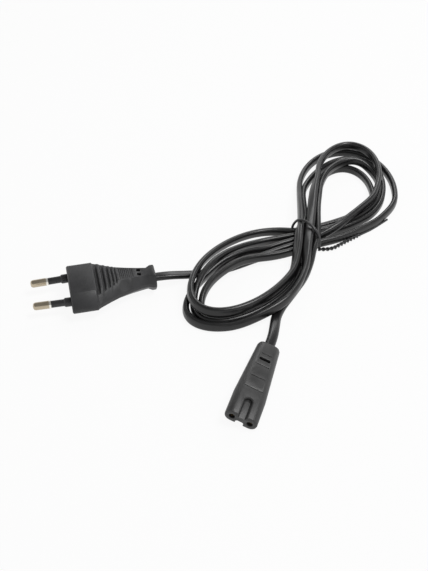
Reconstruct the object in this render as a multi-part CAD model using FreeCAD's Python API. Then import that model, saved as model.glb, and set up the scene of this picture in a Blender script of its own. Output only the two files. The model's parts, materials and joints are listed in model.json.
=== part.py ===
import FreeCAD, Part
import math
import os
from FreeCAD import Placement, Rotation, Vector

# A two-pole mains lead: a figure-eight connector, a flat cord tied up as a figure-eight hank
# and a flat two-pin plug. Millimetres. The connector lies along Y with its sockets facing -Y,
# the floor is z = 0 and the origin is the floor point under the connector's middle.

# Flat two-core cord
CORD_WIDTH = 5.2
CORD_THICKNESS = 3.2
CORD_CORNER = 0.9
CORE_RADIUS = 1.0
CORE_SPACING = 2.1
CORE_SIDES = 12
STRAND_RADIUS = 0.55
STRAND_BARED = 1.2

# Connector moulding
CONNECTOR_LENGTH = 46.4
SOCKET_SPACING = 8.6
NOSE_HEIGHT = 6.9
NOSE_LENGTH = 14.0
NOSE_FLAT = 0.3
REAR_WIDTH = 11.4
REAR_HEIGHT = 8.1
REAR_CORNER = 3.1
NOSE_EDGE_ROUND = 0.5
REAR_EDGE_ROUND = 1.5
CORNER_STEPS = 4
CONNECTOR_ROLL = 18.0
GROOVE_LENGTH = 10.7
GROOVE_WIDTH = 3.8
GROOVE_DEPTH = 2.2
GROOVE_FOOT_SLANT = 0.6
GROOVE_MOUTH_SLANT = 0.5
WINDOW_PLACE = 35.1
WINDOW_LENGTH = 5.6
WINDOW_WIDTH = 1.7
WINDOW_CORNER = 0.5
LINE_PLACES = [16.7, 23.8, 31.3, 38.4]
LINE_LENGTHS = [8.7, 7.2, 7.0, 5.4]
LINE_WIDTH = 0.35
LINE_DEPTH = 0.3
CONNECTOR_SHEATH_GRIP = 16.0

# Sockets inside the connector
SOCKET_BORE_RADIUS = 1.2
SOCKET_WALL = 0.35
SOCKET_LENGTH = 11.0
SOCKET_SLIT = 0.5
SOCKET_FLOOR = 0.8
SOCKET_ENTRY_RADIUS = 1.45
FRONT_WALL = 2.0
BARREL_WALL = 0.45
BARREL_LENGTH = 4.0
CARRIER_WALL = 0.75
CARRIER_WEB = 1.8

# Plug moulding
PLUG_LENGTH = 44.4
PLUG_FACE_CENTRE = (-107.2, 30.6)
PLUG_YAW = 31.0
BLOCK_WIDTH = 35.3
BLOCK_FLAT = 21.6
BLOCK_HEIGHT = 13.7
BLOCK_LENGTH = 13.4
BLOCK_EDGE_SLANT = 0.6
RIDGE_HEIGHT = 2.0
GRIP_PLACES = [12.6, 16.0, 20.0, 25.0, 31.0, 36.0, 40.0]
GRIP_WIDTHS = [34.5, 30.4, 25.8, 21.0, 16.2, 13.0, 11.6]
GRIP_FLATS = [21.2, 19.2, 15.0, 10.6, 8.0, 6.8, 6.2]
GRIP_HEIGHTS = [12.9, 12.6, 12.3, 11.8, 10.9, 9.9, 9.0]
COLLAR_START = 42.2
COLLAR_WIDTH = 13.6
COLLAR_FLAT = 8.4
COLLAR_HEIGHT = 10.0
COLLAR_EDGE_SLANT = 0.5
GROOVE_PLACES = [14.3, 17.5, 20.1, 22.2, 24.0]
GROOVE_WIDTHS = [2.0, 1.7, 1.3, 1.0, 0.8]
GROOVE_DEPTHS = [2.0, 1.7, 1.4, 1.1, 0.8]
FINE_RIB_START = 26.0
FINE_RIB_PITCH = 0.95
FINE_RIB_COUNT = 8
FINE_RIB_WIDTH = 0.4
FINE_RIB_DEPTH = 0.4
FINE_RIB_SPREAD = 1.4
PLUG_WINDOW_PLACE = 36.0
PLUG_WINDOW_LENGTH = 2.0
PLUG_WINDOW_WIDTH = 2.1
PLUG_WINDOW_GAP = 1.2
PLUG_SHEATH_GRIP = 15.0

# Pins
PIN_DIAMETER = 4.0
PIN_LENGTH = 19.0
PIN_SPACING_FACE = 18.6
PIN_SPACING_TIP = 17.5
PIN_TIP_ROUND = 1.4
PIN_TIP_STEPS = 3
PIN_NECK_DIAMETER = 2.8
SLEEVE_LENGTH = 10.0
SLEEVE_DIAMETER = 3.6
SLEEVE_ROOT_DIAMETER = 4.7
SLEEVE_ROOT_LENGTH = 3.0
SLEEVE_ROOT_SLANT = 0.6
SLEEVE_SEAT = 2.5
PIN_SEAT = 4.9
PIN_BARREL_LENGTH = 4.5
BRIDGE_START = 1.2
BRIDGE_WALL = 1.4
BRIDGE_CORNER = 1.0
BRIDGE_HEIGHT = 8.0

# Hank: lobe outlines as ovals in plan, each with its middle, the heading of its long axis,
# its half length and half breadth outside, and the same for the clear space inside
LOWER_LOBE_CENTRE = (-22.6, 70.5)
LOWER_LOBE_HEADING = 69.0
LOWER_LOBE_OUTSIDE = (47.0, 28.4)
LOWER_LOBE_INSIDE = (31.0, 13.2)
LOWER_LOBE_HEIGHT = 14.5
UPPER_LOBE_CENTRE = (9.4, 168.0)
UPPER_LOBE_HEADING = 87.0
UPPER_LOBE_OUTSIDE = (43.5, 29.2)
UPPER_LOBE_INSIDE = (26.5, 13.8)
UPPER_LOBE_HEIGHT = 16.5
HANK_EDGE_SLANT = 3.6
OVAL_SIDES = 24

# Waist of the hank and the twist tie round it: the waist's outline is given by distances across it
# and heights above the wire under it
WAIST_CENTRE = (-2.8, 114.3)
WAIST_HEADING = -26.6
WAIST_LENGTH = 34.0
WAIST_OUTLINE = [(8.0, 0.0), (8.8, 2.0), (8.8, 5.8), (7.4, 9.2), (4.6, 11.8), (0.8, 13.2),
                 (-3.2, 13.6), (-6.8, 12.2), (-9.2, 8.8), (-10.2, 5.0), (-10.2, 2.0), (-9.2, 0.0)]
TIE_GAP = 6.0
TIE_DIAMETER = 1.1
TIE_CLEARANCE = 0.05
TIE_SIDES = 6
TWIST_DIAMETER = 2.0
TWIST_START = 9.0
TWIST_ROUTE = [(10.6, 111.8), (17.2, 119.4), (24.4, 127.8), (31.6, 137.6), (37.2, 148.4)]

# Free stretches of the cord, between the mouldings and the hank
TAIL_STRAIGHT = 8.0
CONNECTOR_TAIL = [(-0.4, 39.5, 4.0), (-0.6, 48.0, 2.8), (0.1, 58.0, 2.2), (1.6, 66.0, 2.2)]
PLUG_TAIL = [(-55.8, 62.2, 5.0), (-49.6, 67.6, 3.0), (-44.0, 73.2, 2.0)]

UP = Vector(0, 0, 1)
BEYOND = 20.0


def turned(vector, heading):
    """A vector turned about the vertical by a heading in degrees."""
    return Rotation(UP, heading).multVec(vector)


def stepped_rectangle(width, height, corner, y):
    """A closed wire across the Y axis, each round corner taken in equal straight steps."""
    points = []
    for quarter, (sx, sz) in enumerate([(1, 1), (-1, 1), (-1, -1), (1, -1)]):
        for step in range(CORNER_STEPS + 1):
            turn = math.radians(90) * (quarter + step / CORNER_STEPS)
            x = sx * (width / 2 - corner) + corner * math.cos(turn)
            z = sz * (height / 2 - corner) + corner * math.sin(turn)
            points.append(Vector(x, y, z))
    return Part.makePolygon(points + points[:1])


def tangent_route(points, share=0.45):
    """Straight runs joined by tangent arcs, each as large as its two runs allow."""
    points = [Vector(*p) for p in points]
    edges = []
    start = points[0]
    for before, corner, after in zip(points, points[1:], points[2:]):
        arriving = (corner - before).normalize()
        leaving = (after - corner).normalize()
        turn = arriving.getAngle(leaving)
        cut = share * min((corner - before).Length, (after - corner).Length)
        radius = cut / math.tan(turn / 2)
        arc_start = corner - arriving * cut
        arc_end = corner + leaving * cut
        bisector = (leaving - arriving).normalize()
        arc_middle = corner + bisector * (radius / math.cos(turn / 2) - radius)
        edges.append(Part.LineSegment(start, arc_start).toShape())
        edges.append(Part.Arc(arc_start, arc_middle, arc_end).toShape())
        start = arc_end
    edges.append(Part.LineSegment(start, points[-1]).toShape())
    return Part.Wire(edges)


def sweep(section, path, binormal):
    """A solid of one section along a path, kept level with a fixed direction."""
    pipe = Part.BRepOffsetAPI.MakePipeShell(path)
    pipe.setBiNormalMode(binormal)
    pipe.add(section)
    pipe.build()
    pipe.makeSolid()
    return pipe.shape()


def many_sided(centre, across, other, radius, sides):
    """A closed wire of equal flat sides, with one of them facing the first direction."""
    reach = radius / math.cos(math.pi / sides)
    turns = [2 * math.pi * (index + 0.5) / sides for index in range(sides)]
    ring = [centre + across * (reach * math.cos(a)) + other * (reach * math.sin(a)) for a in turns]
    return Part.makePolygon(ring + ring[:1])


def mitred_rod(points, across, radius, sides):
    """A rod of flat sides along straight runs, mitred at each bend, one side facing a direction."""
    direction = (points[1] - points[0]).normalize()
    pipe = Part.BRepOffsetAPI.MakePipeShell(Part.makePolygon(points))
    pipe.setTransitionMode(1)
    pipe.add(many_sided(points[0], across, direction.cross(across), radius, sides))
    pipe.build()
    pipe.makeSolid()
    return pipe.shape()


def core_solid(points):
    """One insulated core along its bend from a contact to the sheath."""
    return mitred_rod([Vector(*p) for p in points], UP, CORE_RADIUS, CORE_SIDES)


def turned_profile(profile):
    """A solid of revolution about the X axis, from distances along it and radii."""
    ring = [Vector(x, 0, radius) for x, radius in profile]
    return Part.Face(Part.makePolygon(ring + ring[:1])).revolve(Vector(0, 0, 0), Vector(1, 0, 0), 360)


def edges_at(solid, axis, value):
    """The edges that lie in one plane across an axis."""
    found = []
    for edge in solid.Edges:
        ends = [getattr(v.Point, axis) for v in edge.Vertexes] + [getattr(edge.CenterOfMass, axis)]
        if all(abs(e - value) < 1e-4 for e in ends):
            found.append(edge)
    return found


def upright_edges(solid):
    """The vertical edges of a solid."""
    return [edge for edge in solid.Edges if abs(edge.tangentAt(edge.FirstParameter).z) > 0.999]


def cut_all(solid, tools):
    """A solid less several others, as one solid."""
    return solid.cut(tools).removeSplitter()


def placed(solid, placement):
    """A copy of a solid moved to a placement."""
    copy = solid.copy()
    copy.Placement = placement.multiply(copy.Placement)
    return copy


# Connector, modelled along +Y from its front face at y = 0, axis at x = z = 0

LOBE_RADIUS = NOSE_HEIGHT / 2
NOSE_WIDTH = SOCKET_SPACING + NOSE_HEIGHT
NOSE_CORNER = LOBE_RADIUS - NOSE_FLAT / 2
SOCKET_RADIUS = SOCKET_BORE_RADIUS + SOCKET_WALL
SOCKET_END = FRONT_WALL + SOCKET_LENGTH + SOCKET_FLOOR
BARREL_END = SOCKET_END + BARREL_LENGTH
BARREL_RADIUS = STRAND_RADIUS + BARREL_WALL
SHEATH_FACE = CONNECTOR_LENGTH - CONNECTOR_SHEATH_GRIP
SIDES = {"left": -1, "right": 1}
CORE_COLOURS = {"left": "brown", "right": "blue"}


def connector_top(y):
    """Half height of the connector's moulding at a distance from the front face."""
    share = max(0.0, (y - NOSE_LENGTH) / (CONNECTOR_LENGTH - NOSE_LENGTH))
    return LOBE_RADIUS + share * (REAR_HEIGHT - NOSE_HEIGHT) / 2


def rounded_edge(section, face, depth):
    """Sections that round off an end of the moulding, from its face inwards by a signed depth."""
    width, height, corner = section
    wires = []
    for turn in (0, 45, 90):
        inset = abs(depth) * (1 - math.sin(math.radians(turn)))
        y = face + depth * (1 - math.cos(math.radians(turn)))
        wires.append(stepped_rectangle(width - 2 * inset, height - 2 * inset, corner - inset, y))
    return wires


def connector_outline():
    """The moulding's outer form: a parallel nose and a body that narrows to the cord."""
    nose = (NOSE_WIDTH, NOSE_HEIGHT, NOSE_CORNER)
    rear = (REAR_WIDTH, REAR_HEIGHT, REAR_CORNER)
    front_edge = rounded_edge(nose, 0, NOSE_EDGE_ROUND)
    rear_edge = rounded_edge(rear, CONNECTOR_LENGTH, -REAR_EDGE_ROUND)
    waist = stepped_rectangle(*nose, NOSE_LENGTH)
    return Part.makeLoft(front_edge + [waist] + rear_edge[::-1], True, True)


def groove_tool():
    """The key groove between the two sockets, with a slanting foot and mouth and a round inner end."""
    half = GROOVE_WIDTH / 2
    floor = LOBE_RADIUS - GROOVE_DEPTH
    foot, mouth = GROOVE_FOOT_SLANT, GROOVE_MOUTH_SLANT
    end = GROOVE_LENGTH - half
    top = LOBE_RADIUS + mouth
    outline = [(0, floor), (half - foot, floor), (half, floor + foot), (half, LOBE_RADIUS - mouth),
               (half + 2 * mouth, top), (0, top), (0, floor)]
    face = Part.Face(Part.makePolygon([Vector(x, end, z) for x, z in outline]))
    round_end = face.revolve(Vector(0, end, 0), UP, 360)
    right = face.extrude(Vector(0, -end - BEYOND, 0))
    left = right.mirror(Vector(0, 0, 0), Vector(1, 0, 0))
    return round_end.fuse([right, left]).removeSplitter()


def connector_marks():
    """The engraved lines across the top and the windows that held the cord in the mould."""
    tools = []
    for place, length in zip(LINE_PLACES, LINE_LENGTHS):
        corner = Vector(-length / 2, place - LINE_WIDTH / 2, connector_top(place) - LINE_DEPTH)
        tools.append(Part.makeBox(length, LINE_WIDTH, BEYOND, corner))
    corner = Vector(-WINDOW_LENGTH / 2, WINDOW_PLACE - WINDOW_WIDTH / 2, CORD_THICKNESS / 2)
    window = Part.makeBox(WINDOW_LENGTH, WINDOW_WIDTH, BEYOND, corner)
    window = window.makeChamfer(WINDOW_CORNER, upright_edges(window))
    tools.append(window)
    tools.append(window.mirror(Vector(0, 0, 0), UP))
    return tools


def socket(side):
    """A slit brass tube with a floor and a barrel crimped round the strands."""
    x = SIDES[side] * SOCKET_SPACING / 2
    front = Vector(x, FRONT_WALL, 0)
    along = Vector(0, 1, 0)
    tube = Part.makeCylinder(SOCKET_RADIUS, SOCKET_LENGTH + SOCKET_FLOOR, front, along)
    bore = Part.makeCylinder(SOCKET_BORE_RADIUS, SOCKET_LENGTH, front, along)
    slit_corner = Vector(x if x > 0 else x - SOCKET_RADIUS, FRONT_WALL, -SOCKET_SLIT / 2)
    slit = Part.makeBox(SOCKET_RADIUS, SOCKET_LENGTH, SOCKET_SLIT, slit_corner)
    barrel = Part.makeCylinder(BARREL_RADIUS, BARREL_LENGTH, Vector(x, SOCKET_END, 0), along)
    return tube.cut([bore, slit]).fuse(barrel).cut(socket_strands(side)).removeSplitter()


def socket_strands(side):
    """The bared copper inside the barrel and just behind it."""
    x = SIDES[side] * SOCKET_SPACING / 2
    start = Vector(x, SOCKET_END, 0)
    return Part.makeCylinder(STRAND_RADIUS, BARREL_LENGTH + STRAND_BARED, start, Vector(0, 1, 0))


def socket_core(side):
    """The insulated core from the bared copper to the end of the sheath."""
    sign = SIDES[side]
    start = BARREL_END + STRAND_BARED
    span = SHEATH_FACE - start
    socket_x = sign * SOCKET_SPACING / 2
    sheath_x = sign * CORE_SPACING / 2
    return core_solid([(socket_x, start, 0), (socket_x, start + span * 0.3, 0),
                       (sheath_x, SHEATH_FACE - span * 0.3, 0), (sheath_x, SHEATH_FACE, 0)])


def carrier_envelope():
    """The figure-eight insert, before it is bored for the sockets."""
    radius = SOCKET_RADIUS + CARRIER_WALL
    along = Vector(0, 1, 0)
    length = SOCKET_END - FRONT_WALL
    starts = [Vector(sign * SOCKET_SPACING / 2, FRONT_WALL, 0) for sign in SIDES.values()]
    posts = [Part.makeCylinder(radius, length, start, along) for start in starts]
    corner = Vector(-SOCKET_SPACING / 2, FRONT_WALL, -CARRIER_WEB / 2)
    web = Part.makeBox(SOCKET_SPACING, length, CARRIER_WEB, corner)
    return web.fuse(posts).removeSplitter()


def socket_space(side):
    """The round space that a socket and its barrel take up."""
    x = SIDES[side] * SOCKET_SPACING / 2
    along = Vector(0, 1, 0)
    tube = Part.makeCylinder(SOCKET_RADIUS, SOCKET_LENGTH + SOCKET_FLOOR, Vector(x, FRONT_WALL, 0), along)
    barrel = Part.makeCylinder(BARREL_RADIUS, BARREL_LENGTH, Vector(x, SOCKET_END, 0), along)
    return tube.fuse(barrel)


def build_connector(tail):
    """The connector's pieces in its own frame, the tail being the cord that enters it."""
    pieces = {}
    spaces = []
    for side in SIDES:
        colour = CORE_COLOURS[side]
        pieces["contact_socket_" + side] = socket(side)
        pieces["connector_strands_" + colour] = socket_strands(side)
        pieces["connector_core_" + colour] = socket_core(side)
        spaces += [socket_space(side), pieces["connector_strands_" + colour]]
        spaces.append(pieces["connector_core_" + colour])
    pieces["contact_carrier"] = cut_all(carrier_envelope(), [socket_space(side) for side in SIDES])
    entries = [Part.makeCylinder(SOCKET_ENTRY_RADIUS, FRONT_WALL + 1,
                                 Vector(sign * SOCKET_SPACING / 2, -1, 0), Vector(0, 1, 0))
               for sign in SIDES.values()]
    grooves = [groove_tool()]
    grooves.append(grooves[0].mirror(Vector(0, 0, 0), UP))
    body = cut_all(connector_outline(), grooves + connector_marks() + entries)
    pieces["connector_body"] = cut_all(body, [carrier_envelope(), tail] + spaces)
    return pieces


def connector_placement():
    """The connector lies rolled on its lower lobe, as its cord holds it."""
    roll = math.radians(CONNECTOR_ROLL)
    lowest = 0.0
    sections = [(NOSE_WIDTH, NOSE_HEIGHT, NOSE_CORNER), (REAR_WIDTH, REAR_HEIGHT, REAR_CORNER)]
    for width, height, corner in sections:
        drop = (width / 2 - corner) * math.sin(roll) + (height / 2 - corner) * math.cos(roll) + corner
        lowest = max(lowest, drop)
    return Placement(Vector(0, -CONNECTOR_LENGTH / 2, lowest), Rotation(Vector(0, 1, 0), CONNECTOR_ROLL))


# Plug, modelled along +X from its engagement face at x = 0, axis at y = z = 0

PIN_TILT = math.degrees(math.asin((PIN_SPACING_FACE - PIN_SPACING_TIP) / 2 / PIN_LENGTH))
PLUG_SHEATH_FACE = PLUG_LENGTH - PLUG_SHEATH_GRIP
PIN_SIDES = {"near": -1, "far": 1}
PIN_CORE_COLOURS = {"near": "brown", "far": "blue"}


def grip_section(x, width, flat, height):
    """An eight-sided section: flat top and bottom, slanting sides and a narrow ridge."""
    w, f, h, r = width / 2, flat / 2, height / 2, RIDGE_HEIGHT / 2
    ring = [(f, h), (w, r), (w, -r), (f, -h), (-f, -h), (-w, -r), (-w, r), (-f, h)]
    return Part.makePolygon([Vector(x, y, z) for y, z in ring + ring[:1]])


def grip_half_height(x):
    """Half height of the grip's top panel at a distance from the face."""
    for x0, x1, h0, h1 in zip(GRIP_PLACES, GRIP_PLACES[1:], GRIP_HEIGHTS, GRIP_HEIGHTS[1:]):
        if x <= x1:
            return (h0 + (h1 - h0) * (x - x0) / (x1 - x0)) / 2
    return GRIP_HEIGHTS[-1] / 2


def plug_outline():
    """The moulding's outer form: block, hollow-sided grip and end collar."""
    face = Part.Face(grip_section(0, BLOCK_WIDTH, BLOCK_FLAT, BLOCK_HEIGHT))
    block = face.extrude(Vector(BLOCK_LENGTH, 0, 0))
    block = block.makeChamfer(BLOCK_EDGE_SLANT, block.Edges)
    stations = zip(GRIP_PLACES, GRIP_WIDTHS, GRIP_FLATS, GRIP_HEIGHTS)
    sections = [grip_section(*station) for station in stations]
    seat = grip_section(BLOCK_LENGTH / 2, GRIP_WIDTHS[0], GRIP_FLATS[0], GRIP_HEIGHTS[0])
    root = Part.makeLoft([seat, sections[0]], True, True)
    grip = Part.makeLoft(sections, True, True)
    neck = sections[-1]
    flare = grip_section(COLLAR_START, COLLAR_WIDTH, COLLAR_FLAT, COLLAR_HEIGHT)
    rear = grip_section(PLUG_LENGTH, COLLAR_WIDTH, COLLAR_FLAT, COLLAR_HEIGHT)
    collar = Part.makeLoft([neck, flare, rear], True, True)
    collar = collar.makeChamfer(COLLAR_EDGE_SLANT, edges_at(collar, "x", PLUG_LENGTH))
    return block.fuse([root, grip, collar]).removeSplitter()


def grip_marks():
    """The finger grooves, fine ribs and cord windows, on the top and again below."""
    tools = []
    half = BLOCK_WIDTH / 2
    for place, width, depth in zip(GROOVE_PLACES, GROOVE_WIDTHS, GROOVE_DEPTHS):
        floor = grip_half_height(place) - depth
        slant = width / 4
        side = width / 2
        ring = [(slant - side, floor), (side - slant, floor), (side, floor + slant), (side, BEYOND),
                (-side, BEYOND), (-side, floor + slant), (slant - side, floor)]
        outline = Part.makePolygon([Vector(place + x, -half, z) for x, z in ring])
        tools.append(Part.Face(outline).extrude(Vector(0, 2 * half, 0)))
    for index in range(FINE_RIB_COUNT):
        place = FINE_RIB_START + index * FINE_RIB_PITCH
        reach = grip_half_height(place)
        length = reach * FINE_RIB_SPREAD
        corner = Vector(place - FINE_RIB_WIDTH / 2, -length / 2, reach - FINE_RIB_DEPTH)
        tools.append(Part.makeBox(FINE_RIB_WIDTH, length, BEYOND, corner))
    for sign in (-1, 1):
        middle = sign * (PLUG_WINDOW_WIDTH + PLUG_WINDOW_GAP) / 2
        corner = Vector(PLUG_WINDOW_PLACE - PLUG_WINDOW_LENGTH / 2, middle - PLUG_WINDOW_WIDTH / 2,
                        CORD_THICKNESS / 2)
        tools.append(Part.makeBox(PLUG_WINDOW_LENGTH, PLUG_WINDOW_WIDTH, BEYOND, corner))
    return tools + [tool.mirror(Vector(0, 0, 0), UP) for tool in tools]


def pin_placement(side):
    """A pin's own frame: from the face outwards along -X, leaning towards the other pin."""
    sign = PIN_SIDES[side]
    return Placement(Vector(0, sign * PIN_SPACING_FACE / 2, 0), Rotation(UP, sign * PIN_TILT))


PIN_NECK_END = SLEEVE_SEAT + PIN_SEAT
PIN_BARREL_END = PIN_NECK_END + PIN_BARREL_LENGTH


def pin_strands(side):
    """The bared copper inside a pin's barrel and just behind it."""
    length = PIN_BARREL_LENGTH + STRAND_BARED
    strands = Part.makeCylinder(STRAND_RADIUS, length, Vector(PIN_NECK_END, 0, 0), Vector(1, 0, 0))
    return placed(strands, pin_placement(side))


def pin(side):
    """A solid pin: round tip, bare length, neck through the sleeve and the bridge, barrel."""
    bare, neck = PIN_DIAMETER / 2, PIN_NECK_DIAMETER / 2
    profile = [(-PIN_LENGTH, 0)]
    for step in range(PIN_TIP_STEPS + 1):
        turn = math.radians(90) * step / PIN_TIP_STEPS
        profile.append((-PIN_LENGTH + PIN_TIP_ROUND * (1 - math.cos(turn)),
                        bare - PIN_TIP_ROUND * (1 - math.sin(turn))))
    profile += [(-SLEEVE_LENGTH, bare), (-SLEEVE_LENGTH, neck), (PIN_NECK_END, neck),
                (PIN_NECK_END, BARREL_RADIUS), (PIN_BARREL_END, BARREL_RADIUS),
                (PIN_BARREL_END, STRAND_RADIUS), (PIN_NECK_END, STRAND_RADIUS), (PIN_NECK_END, 0)]
    return placed(turned_profile(profile), pin_placement(side))


def sleeve(side):
    """The insulating sleeve on a pin's root, thicker next to the face."""
    inner, outer, root = PIN_NECK_DIAMETER / 2, SLEEVE_DIAMETER / 2, SLEEVE_ROOT_DIAMETER / 2
    slant_start = -SLEEVE_ROOT_LENGTH - SLEEVE_ROOT_SLANT
    profile = [(-SLEEVE_LENGTH, inner), (-SLEEVE_LENGTH, outer), (slant_start, outer),
               (-SLEEVE_ROOT_LENGTH, root), (SLEEVE_SEAT, root), (SLEEVE_SEAT, inner)]
    return placed(turned_profile(profile), pin_placement(side))


def pin_core(side):
    """The insulated core from a pin's bared copper to the end of the sheath."""
    sign = PIN_SIDES[side]
    frame = pin_placement(side)
    start_x = PIN_BARREL_END + STRAND_BARED
    span = PLUG_SHEATH_FACE - start_x
    start = frame.multVec(Vector(start_x, 0, 0))
    bend = frame.multVec(Vector(start_x + span * 0.25, 0, 0))
    sheath_y = sign * CORE_SPACING / 2
    return core_solid([tuple(start), tuple(bend), (PLUG_SHEATH_FACE - span * 0.25, sheath_y, 0),
                       (PLUG_SHEATH_FACE, sheath_y, 0)])


def bridge_envelope():
    """The stiff bar that holds both pins, before it is bored for them."""
    width = PIN_SPACING_FACE + SLEEVE_ROOT_DIAMETER + 2 * BRIDGE_WALL
    corner = Vector(BRIDGE_START, -width / 2, -BRIDGE_HEIGHT / 2)
    bar = Part.makeBox(PIN_NECK_END - BRIDGE_START, width, BRIDGE_HEIGHT, corner)
    return bar.makeChamfer(BRIDGE_CORNER, edges_at(bar, "y", -width / 2) + edges_at(bar, "y", width / 2))


def build_plug(tail):
    """The plug's pieces in its own frame, the tail being the cord that enters it."""
    pieces = {}
    held = []
    for side in PIN_SIDES:
        colour = PIN_CORE_COLOURS[side]
        pieces["plug_pin_" + side] = pin(side)
        pieces["pin_sleeve_" + side] = sleeve(side)
        pieces["plug_strands_" + colour] = pin_strands(side)
        pieces["plug_core_" + colour] = pin_core(side)
        held += [pieces[name] for name in ("plug_pin_" + side, "pin_sleeve_" + side,
                                           "plug_strands_" + colour, "plug_core_" + colour)]
    pieces["pin_bridge"] = cut_all(bridge_envelope(), held)
    body = cut_all(plug_outline(), grip_marks())
    pieces["plug_body"] = cut_all(body, [bridge_envelope(), tail] + held)
    return pieces


def plug_placement():
    """The plug lies flat on the floor."""
    x, y = PLUG_FACE_CENTRE
    return Placement(Vector(x, y, BLOCK_HEIGHT / 2), Rotation(UP, PLUG_YAW))


# Cord and tie

def cord_section(centre, wide, thin):
    """The flat cord's outline with its long edges slanted off."""
    w, t, c = CORD_WIDTH / 2, CORD_THICKNESS / 2, CORD_CORNER
    ring = [(w, c - t), (w, t - c), (w - c, t), (c - w, t),
            (-w, t - c), (-w, c - t), (c - w, -t), (w - c, -t)]
    points = [centre + wide * a + thin * b for a, b in ring]
    return Part.makePolygon(points + points[:1])


def cord_tube(inside, mouth, thin, points):
    """A flat length of cord, straight out of a moulding and then along a route."""
    along = (mouth - inside).normalize()
    straight = mouth + along * TAIL_STRAIGHT
    route = tangent_route([tuple(mouth), tuple(straight)] + points)
    path = Part.Wire([Part.LineSegment(inside, mouth).toShape()] + route.OrderedEdges)
    section = cord_section(inside, along.cross(thin), thin)
    return sweep(section, path, thin)


def connector_tail(placement):
    """The cord from inside the connector towards the hank."""
    inside = placement.multVec(Vector(0, SHEATH_FACE, 0))
    mouth = placement.multVec(Vector(0, CONNECTOR_LENGTH, 0))
    return cord_tube(inside, mouth, placement.Rotation.multVec(UP), CONNECTOR_TAIL)


def plug_tail(placement):
    """The cord from inside the plug towards the hank."""
    inside = placement.multVec(Vector(PLUG_SHEATH_FACE, 0, 0))
    mouth = placement.multVec(Vector(PLUG_LENGTH, 0, 0))
    return cord_tube(inside, mouth, placement.Rotation.multVec(UP), PLUG_TAIL)


def oval_face(centre, heading, half_length, half_breadth):
    """A level many-sided oval on the floor."""
    middle = Vector(*centre, 0)
    ring = []
    for index in range(OVAL_SIDES):
        turn = 2 * math.pi * index / OVAL_SIDES
        point = Vector(half_length * math.cos(turn), half_breadth * math.sin(turn), 0)
        ring.append(middle + turned(point, heading))
    return Part.Face(Part.makePolygon(ring + ring[:1]))


def lobe(centre, heading, outside, inside, height):
    """One lobe of the hank: an oval ring of turns with slanted edges."""
    rise = Vector(0, 0, height)
    ring = oval_face(centre, heading, *outside).extrude(rise)
    ring = ring.cut(oval_face(centre, heading, *inside).extrude(rise))
    return ring.makeChamfer(HANK_EDGE_SLANT, edges_at(ring, "z", height))


def waist_frame():
    """The tie's own frame: X across the waist, Y along the cord's crossing, Z up."""
    return Placement(Vector(*WAIST_CENTRE, 0), Rotation(UP, WAIST_HEADING))


def waist_outline(y):
    """The waist's outline across the tie's Y axis, clear of the floor by the wire under it."""
    foot = TIE_DIAMETER + 2 * TIE_CLEARANCE
    ring = [Vector(x, y, foot + height) for x, height in WAIST_OUTLINE]
    return Part.makePolygon(ring + ring[:1])


def hank():
    """Both lobes of turns and the tied waist between them."""
    lower = lobe(LOWER_LOBE_CENTRE, LOWER_LOBE_HEADING, LOWER_LOBE_OUTSIDE, LOWER_LOBE_INSIDE,
                 LOWER_LOBE_HEIGHT)
    upper = lobe(UPPER_LOBE_CENTRE, UPPER_LOBE_HEADING, UPPER_LOBE_OUTSIDE, UPPER_LOBE_INSIDE,
                 UPPER_LOBE_HEIGHT)
    lobes = lower.fuse(upper)
    gap = Part.makeBox(8 * BEYOND, TIE_GAP, 2 * BEYOND, Vector(-4 * BEYOND, -TIE_GAP / 2, -BEYOND))
    neck = Part.Face(waist_outline(-WAIST_LENGTH / 2)).extrude(Vector(0, WAIST_LENGTH, 0))
    frame = waist_frame()
    return lobes.cut(placed(gap, frame)).fuse(placed(neck, frame)).removeSplitter()


def twist_tie():
    """A coated wire bent round the waist, its ends twisted together and laid along the floor."""
    outline = waist_outline(0).makeOffset2D(TIE_DIAMETER / 2 + TIE_CLEARANCE, 2)
    ring = [vertex.Point for vertex in outline.OrderedVertexes]
    start = (ring[0] + ring[-1]) / 2
    ring = [waist_frame().multVec(point) for point in [start] + ring + [start]]
    across = (ring[1] - ring[0]).cross(waist_frame().Rotation.multVec(Vector(0, 1, 0))).normalize()
    loop = mitred_rod(ring, across, TIE_DIAMETER / 2, TIE_SIDES)
    corner = waist_frame().multVec(Vector(TWIST_START, 0, 0))
    level = TWIST_DIAMETER / 2
    route = [Vector(corner.x, corner.y, level)] + [Vector(x, y, level) for x, y in TWIST_ROUTE]
    twist = mitred_rod(route, UP, level, TIE_SIDES)
    return loop.fuse(twist).removeSplitter()


def main():
    os.makedirs("parts", exist_ok=True)
    connector_frame = connector_placement()
    plug_frame = plug_placement()
    from_connector = connector_tail(connector_frame)
    from_plug = plug_tail(plug_frame)
    pieces = {"cord_connector_tail": from_connector, "cord_plug_tail": from_plug}
    pieces["cord_hank"] = cut_all(hank(), [from_connector, from_plug])
    pieces["twist_tie"] = twist_tie()
    in_connector = placed(from_connector, connector_frame.inverse())
    for name, solid in build_connector(in_connector).items():
        pieces[name] = placed(solid, connector_frame)
    in_plug = placed(from_plug, plug_frame.inverse())
    for name, solid in build_plug(in_plug).items():
        pieces[name] = placed(solid, plug_frame)
    for name, solid in pieces.items():
        solid.exportStep("parts/" + name + ".step")
        print("%-26s solids %d volume %.1f" % (name, len(solid.Solids), solid.Volume))


main()
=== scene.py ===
# %% [markdown]
# This lesson dresses a short mains lead for a picture: a figure-eight connector, two metres of flat cord
# tied up as a hank, and a flat plug with two pins. The solids come from a CAD model and stay where they
# are. Camera, floor and light come first, then the finishes, then the cord, the tie and the soft edges.

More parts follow.
